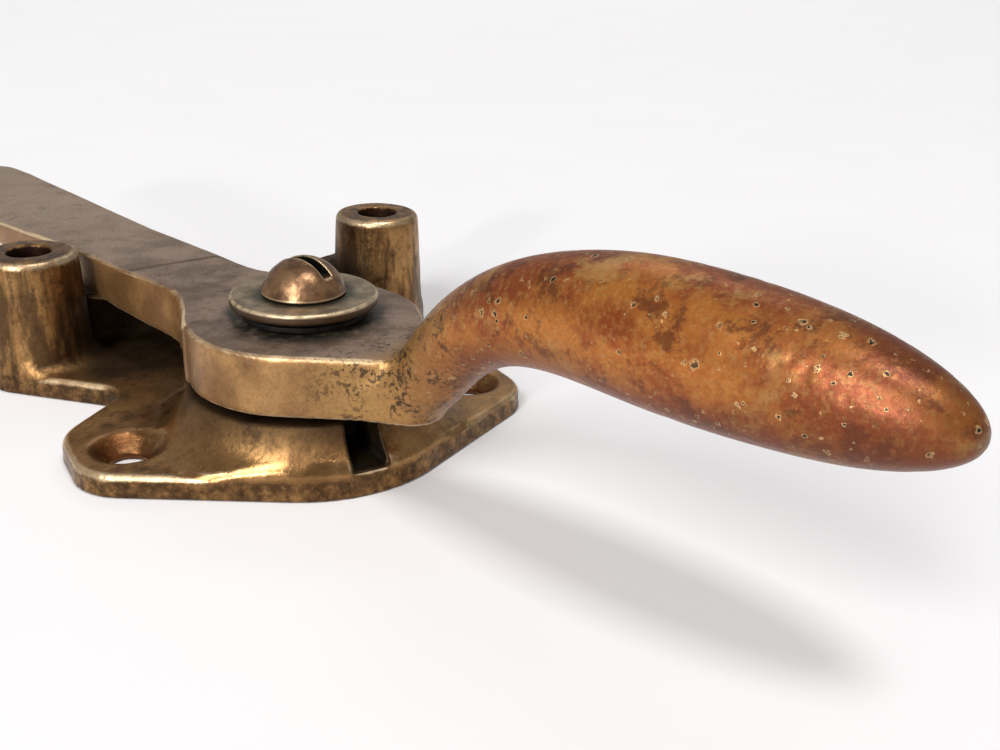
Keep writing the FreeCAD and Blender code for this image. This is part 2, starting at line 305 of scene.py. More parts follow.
def noise(points, scale, seed):
    """Smooth noise from 0 to 1 whose lumps are about this size."""
    at = points / scale + seed * 17.31
    base = np.floor(at).astype(np.int64)
    part = at - base
    part = part * part * (3 - 2 * part)
    value = np.zeros(len(points))
    for i in (0, 1):
        for j in (0, 1):
            for k in (0, 1):
                x, y, z = (base + (i, j, k)).T
                mixed = (x * 73856093) ^ (y * 19349663) ^ (z * 83492791) ^ (seed * 2654435761)
                mixed = (mixed ^ (mixed >> 13)) * 1274126177 & 0xFFFFFF
                weight = np.abs(1 - i - part[:, 0]) * np.abs(1 - j - part[:, 1]) * np.abs(1 - k - part[:, 2])
                value += weight * mixed / 0xFFFFFF
    return value


def dents(points, places, count, radius, depth, seed):
    """Depth of small round dents whose centres fall where places is large."""
    rng = np.random.default_rng(seed)
    tree = kdtree.KDTree(len(points))
    for i, point in enumerate(points):
        tree.insert(point, i)
    tree.balance()
    sunk = np.zeros(len(points))
    for centre in rng.choice(len(points), count, p=places / places.sum()):
        reach = rng.uniform(*radius)
        sink = depth * rng.uniform(0.4, 1.0)
        for _, i, distance in tree.find_range(points[centre], reach):
            sunk[i] = max(sunk[i], sink * (1 - (distance / reach) ** 2))
    return sunk


def grid(box_low, box_high, cell):
    """Sample places that cover a box and a margin: three arrays ready to broadcast, and the first corner."""
    origin = np.array(box_low) - PROBE
    lines = [np.arange(origin[n], box_high[n] + PROBE + cell, cell, dtype=np.float32) for n in range(3)]
    return np.meshgrid(*lines, indexing="ij", sparse=True), origin


def new_mesh(name, points, faces):
    mesh = bpy.data.meshes.new(name)
    mesh.from_pydata((np.asarray(points) * MM).tolist(), [], np.asarray(faces).tolist())
    mesh.shade_smooth()
    piece = bpy.data.objects.new(name, mesh)
    bpy.context.scene.collection.objects.link(piece)
    return piece


def paint(piece, name, values):
    """One number per point that the materials read."""
    layer = piece.data.attributes.new(name, "FLOAT", "POINT")
    layer.data.foreach_set("value", np.clip(values, 0, 1).astype(np.float32))


def smoothstep(start, end, value):
    part = np.clip((value - start) / (end - start), 0, 1)
    return part * part * (3 - 2 * part)


# ------------------------------------------------------------------ base plate
def plate_outline():
    """Plan of the base: two ears, a waist, and arms whose edges run tangent to the boss feet."""
    front_corner_y = -FRONT_R / math.cos(math.radians(FRONT_DEG))
    ear_front_y = front_corner_y + EAR_HALF_X * math.tan(math.radians(FRONT_DEG))
    sides = {}
    for side in (1, -1):
        waist_x = side * WAIST_X + PLATE_X
        from_waist = Vector((BOSS_X - side * waist_x, BOSS_Y - WAIST_Y))
        lean = math.atan2(from_waist.y, from_waist.x) - math.asin(BOSS_FOOT_R / from_waist.length)
        arm_y = WAIST_Y + math.tan(lean) * (from_waist.x + BOSS_FOOT_R)
        sides[side] = [(side * EAR_HALF_X + PLATE_X, ear_front_y, EAR_ROUND),
                       (side * EAR_HALF_X + PLATE_X, EAR_BACK_Y, EAR_ROUND),
                       (waist_x, WAIST_Y, WAIST_ROUND),
                       (side * (BOSS_X + BOSS_FOOT_R), arm_y, BOSS_FOOT_R),
                       (side * (BOSS_X + BOSS_FOOT_R), BACK_Y, BOSS_FOOT_R)]
    return rounded([(PLATE_X, front_corner_y, FRONT_R)] + sides[1] + sides[-1][::-1])


def base_field(x, y, z):
    outline = polygon(x, y, plate_outline()) + SKIN
    plate = overlap(outline, z - FLANGE_T + SKIN, FLANGE_ROUND)
    lean = math.radians(SKIRT_DEG)
    rho = np.hypot(x, y)
    skirt = (rho - DOME_TOP_R - (DOME_TOP_Z - z) / math.tan(lean)) * math.sin(lean)
    dome = overlap(skirt, z - DOME_TOP_Z + SKIN, 0.6)
    dip_r = (WEB_DIP_HALF_W ** 2 + WEB_DIP ** 2) / (2 * WEB_DIP)
    dip = dip_r - np.hypot(x, z - WEB_Z + WEB_DIP - dip_r)
    web_top = overlap(z - WEB_Z, dip, 2.0)
    web = overlap(np.maximum(np.abs(x) - BOSS_X, WEB_Y - y), web_top, 0.8)
    rib = np.maximum(np.maximum(np.abs(x) - RIB_HALF_W, -y), z - RIB_Z)
    side = np.abs(x) - BOSS_X
    boss_rho = np.hypot(side, y - BOSS_Y)
    taper = (BOSS_FOOT_R - BOSS_TOP_R) / BOSS_H
    post = overlap(boss_rho - BOSS_FOOT_R + taper * z + SKIN, z - BOSS_H + SKIN, 1.3)
    body = union(union(plate, dome, SKIRT_FILLET), union(web, rib, 2.0), 1.6)
    body = overlap(union(body, post, BOSS_FILLET), outline, 1.0)
    body = np.minimum(body, overlap(outline, z - FLANGE_T + SKIN, FLANGE_ROUND))
    body = overlap(body, BOSS_HOLE_R - boss_rho, 0.5)
    sink_rise = (CSK_R - FLANGE_HOLE_R) / CSK_DEPTH
    hole_rho = np.hypot(np.abs(x - PLATE_X) - FLANGE_HOLE_X, y - FLANGE_HOLE_Y)
    hole_r = np.clip(CSK_R + (z - FLANGE_T) * sink_rise, FLANGE_HOLE_R, CSK_R)
    body = overlap(body, (hole_r - hole_rho) * 0.75, 0.5)
    notch = np.maximum(np.maximum(np.abs(x - NOTCH_X) - NOTCH_W / 2, y + NOTCH_BACK_R), NOTCH_FLOOR_Z - z)
    body = overlap(body, -notch, 0.35)
    screw_hole = np.maximum(rho - SCREW_R, SCREW_END_Z - SCREW_HOLE_GAP - z)
    body = np.maximum(body, -screw_hole)
    return np.maximum(body, 0.02 - z)


def make_base():
    cell = BASE_CELL
    (x, y, z), origin = grid((-38, -20, 0), (38, BACK_Y, BOSS_H), cell)
    field = base_field(x, y, z)
    points, quads = surface_net(field, origin, cell)
    outward = slope(field, origin, cell, points)
    edge, recess = edges_and_recesses(field, origin, cell, points, outward)
    lumps = LUMP * noise(points, 7.0, 1) + 0.5 * LUMP * noise(points, 2.4, 2)
    holes = dents(points, np.ones(len(points)), 260, (0.5, 1.1), 0.10, 3)
    points = points - outward * (lumps + holes)[:, None] * smoothstep(0.2, 1.2, points[:, 2])[:, None]
    piece = new_mesh("base_casting", points, quads)
    x, y, z = points.T
    rho = np.hypot(x, y)
    # Painted shadow, read as "shade": under the hub's rim, in the well under the spur and inside the notch.
    under_hub = 1 - smoothstep(HUB_R - 0.6, HUB_R + 2.6, rho)
    in_notch = np.abs(x - NOTCH_X) < NOTCH_W / 2 + 0.5
    in_notch = in_notch & (y < -NOTCH_BACK_R + 1) & (z > NOTCH_FLOOR_Z - 0.5)
    boss_rho = np.hypot(np.abs(x) - BOSS_X, y - BOSS_Y)
    # Painted shade inside the boss bores.
    in_boss = 1 - smoothstep(BOSS_HOLE_R + 0.1, BOSS_HOLE_R + 0.6, boss_rho)
    in_boss = in_boss * (z < BOSS_H - 0.4)
    sink_rho = np.hypot(np.abs(x - PLATE_X) - FLANGE_HOLE_X, y - FLANGE_HOLE_Y)
    in_sink = 1 - smoothstep(CSK_R - 0.5, CSK_R + 0.2, sink_rho)
    deep = (1 - smoothstep(WEB_Z, BOSS_H - 3, z)) * (boss_rho > BOSS_HOLE_R + 1)
    well = smoothstep(20.0, 30.0, y) * deep * (1 - smoothstep(BOSS_X - 8.0, BOSS_X + 1.5, np.abs(x)))
    skirt = smoothstep(HUB_R + 1.0, HUB_R + 3.0, rho) * (1 - smoothstep(HUB_R + 6.0, HUB_R + 9.0, rho))
    # Painted shade on the flange's outer side faces, laid on in speckled patches.
    side = (1 - smoothstep(0.3, 0.7, outward[:, 2])) * (1 - smoothstep(FLANGE_T - 1.0, FLANGE_T, z))
    rim_of_boss = 1 - smoothstep(BOSS_HOLE_R + 1.0, BOSS_HOLE_R + 2.0, boss_rho)
    paint(piece, "edge_wear_and_glint", edge * smoothstep(0.6, 1.6, z) * (1 - under_hub) * (1 - rim_of_boss) * ~in_notch)
    paint(piece, "skirt", skirt)
    paint(piece, "boss_bore_shade", in_boss)
    paint(piece, "boss", 1 - smoothstep(BOSS_FOOT_R, BOSS_FOOT_R + 1.5, boss_rho))
    paint(piece, "grime_and_corner_shade", recess)
    paint(piece, "shade", np.maximum(under_hub, np.maximum(well, in_notch)))
    paint(piece, "sink", in_sink)
    paint(piece, "side", side)
    return piece


# ------------------------------------------------------------------ lever
def grip_radius_squared(distance):
    """Square of the grip's radius: an even neck, a smooth swell to the belly, then a rounded nose."""
    nose = 1 - np.clip((distance - BELLY_AT) / (TIP_AT - BELLY_AT), 0, 1) ** NOSE_POWER
    swell = NECK_R + (BELLY_R - NECK_R) * smoothstep(NECK_END, BELLY_AT, distance)
    return np.where(distance >= BELLY_AT, BELLY_R ** 2 * nose, swell ** 2)


def natural_curve(knots, steps):
    """Points of a smooth curve through the knots."""
    knots = np.array(knots, dtype=float)
    chord = np.concatenate([[0], np.cumsum(np.linalg.norm(np.diff(knots, axis=0), axis=1))])
    gap = np.diff(chord)
    count = len(knots)
    matrix = np.eye(count)
    right = np.zeros((count, 2))
    for i in range(1, count - 1):
        matrix[i, i - 1:i + 2] = gap[i - 1], 2 * (gap[i - 1] + gap[i]), gap[i]
        right[i] = 6 * ((knots[i + 1] - knots[i]) / gap[i] - (knots[i] - knots[i - 1]) / gap[i - 1])
    bend = np.linalg.solve(matrix, right)
    at = np.linspace(0, chord[-1], steps)
    span = np.clip(np.searchsorted(chord, at, side="right") - 1, 0, count - 2)
    h = gap[span][:, None]
    b = (at - chord[span])[:, None]
    a = h - b
    straight = (a * knots[span] + b * knots[span + 1]) / h
    return straight + ((a ** 3 / h - a * h) * bend[span] + (b ** 3 / h - b * h) * bend[span + 1]) / 6


def grip_field(x, y, z):
    """Round tube of changing radius along the grip's centre line, which lies in the plane x = 0."""
    line = natural_curve(GRIP_LINE, 700)
    heading = np.gradient(line, axis=0)
    heading /= np.linalg.norm(heading, axis=1, keepdims=True)
    forward = -y[0, :, 0]
    height = z[0, 0, :]
    distance = np.zeros((len(forward), len(height)))
    across = np.zeros_like(distance)
    for row, d in enumerate(forward):
        away = np.hypot(line[:, 0, None] - d, line[:, 1, None] - height)
        nearest = away.argmin(axis=0)
        along = (d - line[nearest, 0]) * heading[nearest, 0]
        along = along + (height - line[nearest, 1]) * heading[nearest, 1]
        inner = np.where((nearest == 0) | (nearest == len(line) - 1), 0, along)
        distance[row] = line[nearest, 0] + inner * heading[nearest, 0]
        across[row] = away.min(axis=0) ** 2 - inner ** 2
    squared = grip_radius_squared(distance)
    change = (grip_radius_squared(distance + 0.05) - grip_radius_squared(distance - 0.05)) / 0.2
    rho_squared = x * x + across[None]
    scale = 2 * np.sqrt(rho_squared + change[None] ** 2 + 0.01)
    return (rho_squared - squared[None]) / scale


def hub_plan(x, y):
    """Disc round the pivot that tapers to a small round end under the neck."""
    shrink = (HUB_R - NECK_ROOT_R) / NECK_ROOT_Y
    flank = math.sqrt(1 - shrink * shrink)
    x = np.abs(x)
    y = -y
    side = y * flank - x * shrink
    disc = np.hypot(x, y) - HUB_R
    root = np.hypot(x, y - NECK_ROOT_Y) - NECK_ROOT_R
    straight = x * flank + y * shrink - HUB_R
    return np.where(side < 0, disc, np.where(side > flank * NECK_ROOT_Y, root, straight))


def spur_field(x, y, z):
    """Bar along +Y that gets thinner towards its end, with full-height shoulders and a bevelled top edge."""
    right = SPUR_RIGHT[-1][0]
    left = SPUR_LEFT[-1][0]
    nose = [(right, SPUR_LEN - SPUR_NOSE, 6.0), (right - SPUR_NOSE, SPUR_LEN, 3.0),
            (left + SPUR_NOSE, SPUR_LEN, 3.0), (left, SPUR_LEN - SPUR_NOSE, 6.0)]
    plan = polygon(x, y, rounded(SPUR_RIGHT + nose + SPUR_LEFT[::-1], 6)) + SKIN
    rise = (SPUR_ROOT_T - SPUR_END_T) / (SPUR_LEN - SPUR_TAPER_Y)
    under = TOP_Z - SPUR_ROOT_T + SKIN - z + rise * np.maximum(y - SPUR_TAPER_Y, 0)
    bar = overlap(plan, under, 0.7)
    inward = (x - BEVEL_X - BEVEL_WIDEN * (y - BEVEL_Y)) / math.hypot(1, BEVEL_WIDEN)
    bevel = (z - TOP_Z + SKIN - BEVEL_DROP * inward) / math.hypot(1, BEVEL_DROP)
    bar = overlap(bar, np.where(y > BEVEL_Y - 1, bevel, -2.0), 0.5)
    shoulder = overlap(np.maximum(plan, y - SPUR_TAPER_Y), LEVER_Z + SKIN - z, 0.7)
    return np.minimum(bar, shoulder)


def lever_field(x, y, z):
    hub_side = overlap(hub_plan(x, y) + SKIN, LEVER_Z + SKIN - z, 0.7)
    spur_side = spur_field(*turned(x, y, -CRANK_DEG), z)
    sides = np.maximum(union(hub_side, spur_side, SPUR_FILLET), LEVER_Z + SKIN - z)
    flat = overlap(sides, z - TOP_Z + SKIN, HUB_EDGE)
    depth = TOP_Z - z
    blend = 0.5 + 2.2 * smoothstep(-1.0, 5.0, depth)
    grip = np.maximum(grip_field(x, y, z) + SKIN, LEVER_Z + SKIN - z)
    top_limit = np.where(y > -HUB_R, z - TOP_Z + SKIN, -1.0)
    body = np.maximum(union(flat, np.maximum(grip, top_limit), blend), LEVER_Z + SKIN - z)
    return np.maximum(body, BUSH_R + 0.1 - np.hypot(x, y))


def make_lever():
    cell = LEVER_CELL
    (x, y, z), origin = grid((-20, -TIP_AT - 1, LEVER_Z), (HUB_R + 3, SPUR_LEN, high("lever").z), cell)
    field = lever_field(x, y, z)
    points, quads = surface_net(field, origin, cell)
    outward = slope(field, origin, cell, points)
    edge, recess = edges_and_recesses(field, origin, cell, points, outward)
    distance = -points[:, 1]
    grip = smoothstep(17.0, 40.0, distance)
    neck = smoothstep(10.0, 18.0, distance) * (1 - smoothstep(28.0, 38.0, distance))
    lumps = LUMP * noise(points, 9.0, 4) * (1 - 0.5 * grip) + 0.2 * LUMP * noise(points, 2.4, 5) * (1 - grip)
    places = 0.15 + 2.0 * neck + 0.5 * grip
    holes = dents(points, places, 700, (0.4, 0.9), 0.08, 6)
    points = points - outward * (lumps + holes)[:, None]
    top = smoothstep(0.75, 0.95, outward[:, 2]) * (1 - smoothstep(15.0, 24.0, distance))
    spur_across, spur_along = turned(points[:, 0], points[:, 1], -CRANK_DEG)
    points = points @ np.array(Matrix.Rotation(math.radians(REST_DEG + CRANK_DEG), 3, "Z")).T
    piece = new_mesh("lever_casting", points, quads)
    tip = smoothstep(62.0, 92.0, distance)
    far = smoothstep(15.0, 80.0, -distance)
    # Painted shade: faces turned downward, darkened in the material.
    under = 1 - smoothstep(-0.75, 0.15, outward[:, 2])
    rho = np.hypot(points[:, 0], points[:, 1])
    # Dirt round the washer stack, with painted shadow cast by it on the hub.
    washer_ring = 1 - smoothstep(WASHER_R - 0.5, WASHER_R + 2.8, rho)
    from_scribe = np.abs(spur_along - SCRIBE_Y + 0.15 * spur_across)
    scribe = (1 - smoothstep(0.2, 0.75, from_scribe)) * top
    for name, values in (("under", under), ("washer_ring", washer_ring), ("edge_wear_and_glint", edge), ("grime_and_corner_shade", recess),
                         ("top", top), ("grip", grip), ("neck", neck), ("tip", tip), ("far", far),
                         ("scribe", scribe)):
        paint(piece, name, values)
    return piece


# ------------------------------------------------------------------ pivot stack
def lathe(name, profile, segments=144):
    """Ring turned about +Z from a closed (radius, z) profile that runs anticlockwise."""
    angles = np.linspace(0, 2 * math.pi, segments, endpoint=False)
    radii = np.array(profile)[:, 0]
    heights = np.array(profile)[:, 1]
    count = len(profile)
    points = np.stack([np.outer(np.cos(angles), radii), np.outer(np.sin(angles), radii),
                       np.tile(heights, (segments, 1))], axis=2).reshape(-1, 3)
    faces = []
    for step in range(segments):
        after = (step + 1) % segments
        for i in range(count):
            j = (i + 1) % count
            faces.append((step * count + i, after * count + i, after * count + j, step * count + j))
    return new_mesh(name, points, faces)


def eased(corners, radius):
    """A profile with each corner rounded a little."""
    return rounded([(r, z, radius) for r, z in corners], 4)


def ring(name, inner, outer, bottom, top):
    return lathe(name, eased([(inner, bottom), (outer, bottom), (outer, top), (inner, top)], RING_EDGE))


def make_spring():
    thick = 0.8
    inner = BUSH_R + 0.1
    rim = SPRING_Z + 0.02
    return lathe("spring_ring", eased([(inner, WASHER_Z - thick), (SPRING_R, rim), (SPRING_R, rim + thick),
                                       (inner, WASHER_Z - 0.02)], 0.15))


def make_retainer():
    """Washer with a soft outer rim and a face worn slightly hollow."""
    edge = 0.55
    corners = [(SCREW_R + 0.1, WASHER_Z, 0.1), (WASHER_R - 0.02, WASHER_Z, edge),
               (WASHER_R - 0.02, SEAT_Z - 0.02, edge), (WASHER_R - 2.2, SEAT_Z - 0.16, 6.0),
               (HEAD_R, SEAT_Z - 0.16, 3.0), (SCREW_R + 0.1, SEAT_Z - 0.05, 0.1)]
    return lathe("retaining_ring", rounded(corners, 6), 180)


def screw_field(x, y, z):
    rise = SCREW_TOP_Z - SEAT_Z
    ball_r = (HEAD_R ** 2 + rise ** 2) / (2 * rise)
    rho = np.hypot(x, y)
    ball = np.hypot(rho, z - SCREW_TOP_Z + ball_r) - ball_r + 0.03
    head = overlap(ball, SEAT_Z + 0.02 - z, 0.25)
    along = turned(x, y, SLOT_DEG)[1]
    slot = np.maximum(np.abs(along) - SLOT_W / 2, SCREW_TOP_Z - SLOT_DEPTH - z)
    head = overlap(head, -slot, 0.18)
    shank = np.maximum(rho - SCREW_R, z - SEAT_Z - 1.0)
    shank = overlap(shank, SCREW_END_Z - z, 0.6)
    return np.minimum(head, shank)


def make_screw():
    cell = SCREW_CELL
    (x, y, z), origin = grid((-HEAD_R, -HEAD_R, SCREW_END_Z), (HEAD_R, HEAD_R, SCREW_TOP_Z), cell)
    field = screw_field(x, y, z)
    points, quads = surface_net(field, origin, cell)
    outward = slope(field, origin, cell, points)
    edge, recess = edges_and_recesses(field, origin, cell, points, outward, 0.3)
    on_head = smoothstep(SEAT_Z + 0.1, SEAT_Z + 0.6, points[:, 2])
    worn = 0.10 * noise(points, 2.2, 7) + 0.05 * noise(points, 0.8, 8)
    points = points - outward * (worn * on_head)[:, None]
    piece = new_mesh("round_head_screw", points, quads)
    paint(piece, "edge_wear_and_glint", edge)
    paint(piece, "grime_and_corner_shade", recess)
    return piece


# ------------------------------------------------------------------ materials
class Nodes:
    """Small helper that adds shader nodes and joins them up."""

    def __init__(self, name):
        self.material = bpy.data.materials.new(name)
        self.material.use_nodes = True
        self.tree = self.material.node_tree
        self.shader = self.tree.nodes["Principled BSDF"]
        self.place = self.add("ShaderNodeTexCoord").outputs["Object"]

    def add(self, kind, inputs=(), **settings):
        node = self.tree.nodes.new(kind)
        for key, value in settings.items():
            setattr(node, key, value)
        for key, value in dict(inputs).items():
            self.feed(node.inputs[key], value)
        return node

    def feed(self, socket, value):
        if isinstance(value, bpy.types.NodeSocket):
            self.tree.links.new(value, socket)
        elif isinstance(value, tuple) and len(value) == 3 and socket.type == "RGBA":
            socket.default_value = (*value, 1.0)
        else:
            socket.default_value = value

    def layer(self, name):
        return self.add("ShaderNodeAttribute", attribute_name=name).outputs["Fac"]

    def math(self, operation, a, b):
        return self.add("ShaderNodeMath", {0: a, 1: b}, operation=operation).outputs[0]

    def ramp(self, value, start, end):
        """0 at start and 1 at end, with a soft change between."""
        node = self.add("ShaderNodeMapRange", {"Value": value, "From Min": start, "From Max": end},
                        interpolation_type="SMOOTHSTEP")
        return node.outputs["Result"]

    def noise(self, size_mm, detail=4.0, roughness=0.6, stretch=None):
        place = self.place
        if stretch:
            place = self.add("ShaderNodeMapping", {"Vector": place, "Scale": stretch}).outputs[0]
        settings = {"Vector": place, "Scale": 1 / (size_mm * MM), "Detail": detail, "Roughness": roughness}
        node = self.add("ShaderNodeTexNoise", settings)
        return node.outputs["Fac"]

    def warped(self, size_mm, reach_mm):
        """Places shifted about by noise, so that what is drawn there is ragged."""
        noise = self.add("ShaderNodeTexNoise", {"Vector": self.place, "Scale": 1 / (size_mm * MM)})
        shift = self.add("ShaderNodeVectorMath", {0: noise.outputs["Color"], 1: (0.5, 0.5, 0.5)},
                         operation="SUBTRACT")
        shift = self.add("ShaderNodeVectorMath", {0: shift.outputs[0], "Scale": reach_mm * MM},
                         operation="SCALE")
        return self.add("ShaderNodeVectorMath", {0: self.place, 1: shift.outputs[0]}).outputs[0]

    def pits(self, size_mm, share):
        """Ragged pits in this share of the cells: how far into a pit, and its raised rim."""
        place = self.warped(size_mm * 0.3, size_mm * 0.5)
        cells = self.add("ShaderNodeTexVoronoi", {"Vector": place, "Scale": 1 / (size_mm * MM)})
        chance = self.add("ShaderNodeSeparateColor", {0: cells.outputs["Color"]})
        chosen = self.math("LESS_THAN", chance.outputs[0], share)
        reach = self.add("ShaderNodeMapRange", {"Value": chance.outputs[1], "To Min": 0.10, "To Max": 0.34})
        away = self.math("DIVIDE", cells.outputs["Distance"], reach.outputs[0])
        pit = self.math("MULTIPLY", self.ramp(away, 0.68, 0.45), chosen)
        rim = self.math("MULTIPLY", self.ramp(away, 1.05, 0.80), chosen)
        return pit, rim

    def mix(self, amount, a, b):
        node = self.add("ShaderNodeMix", {"Factor": amount}, data_type="RGBA")
        self.feed(node.inputs[6], a)
        self.feed(node.inputs[7], b)
        return node.outputs[2]

    def finish(self, colour, roughness, metallic, height=None, depth_mm=0.1):
        self.feed(self.shader.inputs["Base Color"], colour)
        self.feed(self.shader.inputs["Roughness"], roughness)
        self.feed(self.shader.inputs["Metallic"], metallic)
        if height is not None:
            bump = self.add("ShaderNodeBump", {"Height": height, "Distance": depth_mm * MM, "Strength": 1.0})
            self.feed(self.shader.inputs["Normal"], bump.outputs[0])
        return self.material


GOLD = (0.44, 0.240, 0.088)
YELLOW = (0.45, 0.255, 0.080)
BROWN = (0.25, 0.125, 0.046)
DARK = (0.046, 0.024, 0.011)
BRIGHT = (0.95, 0.72, 0.45)
GREY = (0.33, 0.235, 0.178)
GREY_DARK = (0.135, 0.092, 0.068)
GREEN_GREY = (0.085, 0.080, 0.055)
SHADE_BLACK = (0.010, 0.008, 0.006)
RUST = (0.15, 0.055, 0.018)
BORE_SHADE = (0.020, 0.006, 0.004)
ORANGE = (0.49, 0.165, 0.030)
RED = (0.29, 0.062, 0.012)
RED_DARK = (0.110, 0.026, 0.008)
OCHRE = (0.54, 0.300, 0.085)
PALE = (0.72, 0.48, 0.22)
GREY_PALE = (0.46, 0.355, 0.27)
REDDISH = (0.21, 0.090, 0.058)
RING_DIRT_AND_SHADOW = (0.026, 0.028, 0.019)
PIT = (0.016, 0.010, 0.005)
COPPER_DARK = (0.16, 0.085, 0.045)
COPPER = (0.34, 0.19, 0.095)
SCREW_DIRT_AND_SHADE = (0.030, 0.030, 0.018)
WASHER = (0.36, 0.28, 0.185)
WASHER_DARK = (0.20, 0.155, 0.10)
WASHER_DIRT = (0.035, 0.038, 0.026)
WASHER_SIDE_SHADE = (0.070, 0.038, 0.020)
STEEL_BLACK = (0.006, 0.005, 0.005)
STEEL = (0.018, 0.015, 0.012)


def base_brass():
    n = Nodes("base_brass_aged")
    mottle = n.ramp(n.noise(9.0), 0.35, 0.65)
    colour = n.mix(mottle, BROWN, GOLD)
    stain = n.ramp(n.noise(6.0, 6.0, 0.7), 0.50, 0.68)
    colour = n.mix(n.math("MULTIPLY", stain, 0.7), colour, DARK)
    fleck = n.ramp(n.noise(1.1, 6.0, 0.75), 0.54, 0.68)
    colour = n.mix(n.math("MULTIPLY", fleck, 0.55), colour, DARK)
    grain = n.ramp(n.noise(0.45, 4.0, 0.7), 0.38, 0.70)
    colour = n.mix(n.math("MULTIPLY", grain, 0.25), colour, DARK)
    streak = n.ramp(n.noise(2.4, 5.0, 0.65, (1.0, 1.0, 0.18)), 0.42, 0.60)
    streak = n.math("MULTIPLY", streak, n.layer("boss"))
    colour = n.mix(n.math("MULTIPLY", streak, 0.75), colour, DARK)
    # Painted shade, in speckled patches, on the flange's outer side faces.
    side = n.math("MULTIPLY", n.layer("side"), n.ramp(n.noise(1.6, 5.0, 0.7), 0.30, 0.62))
    colour = n.mix(n.math("MULTIPLY", side, 0.85), colour, DARK)
    # Green-grey dirt in the hollows, darkened further as painted shade in inner corners.
    grime_and_corner_shade = n.ramp(n.math("ADD", n.layer("grime_and_corner_shade"), n.math("MULTIPLY", n.noise(3.0), 0.3)), 0.32, 0.80)
    colour = n.mix(n.math("MULTIPLY", grime_and_corner_shade, 0.75), colour, GREEN_GREY)
    # Painted shadow under the hub, under the spur and in the notch.
    colour = n.mix(n.math("MULTIPLY", n.layer("shade"), 0.85), colour, SHADE_BLACK)
    sink = n.math("MULTIPLY", n.layer("sink"), n.ramp(n.noise(1.8, 4.0), 0.25, 0.6))
    colour = n.mix(n.math("MULTIPLY", sink, 0.8), colour, RUST)
    # Painted shade inside the boss bores.
    colour = n.mix(n.math("MULTIPLY", n.layer("boss_bore_shade"), 0.95), colour, BORE_SHADE)
    # Rubbed edges, brightened further as painted edge highlights.
    worn = n.ramp(n.math("ADD", n.layer("edge_wear_and_glint"), n.math("MULTIPLY", n.noise(2.2), 0.4)), 0.42, 0.90)
    colour = n.mix(n.math("MULTIPLY", worn, 0.85), colour, BRIGHT)
    grimy_and_shaded = n.math("MAXIMUM", grime_and_corner_shade, n.math("MAXIMUM", n.layer("shade"), n.layer("boss_bore_shade")))
    rough = n.math("ADD", n.math("MULTIPLY", n.noise(2.0), 0.22), 0.26)
    rough = n.math("ADD", rough, n.math("MULTIPLY", grimy_and_shaded, 0.28))
    rough = n.math("SUBTRACT", rough, n.math("MULTIPLY", n.layer("skirt"), 0.14))
    height = n.math("ADD", n.noise(0.7, 5.0), n.math("MULTIPLY", n.noise(2.6, 4.0), 1.2))
    height = n.math("MULTIPLY", height, n.math("SUBTRACT", 1.0, n.math("MULTIPLY", n.layer("skirt"), 0.65)))
    return n.finish(colour, rough, 0.88, height, 0.08)


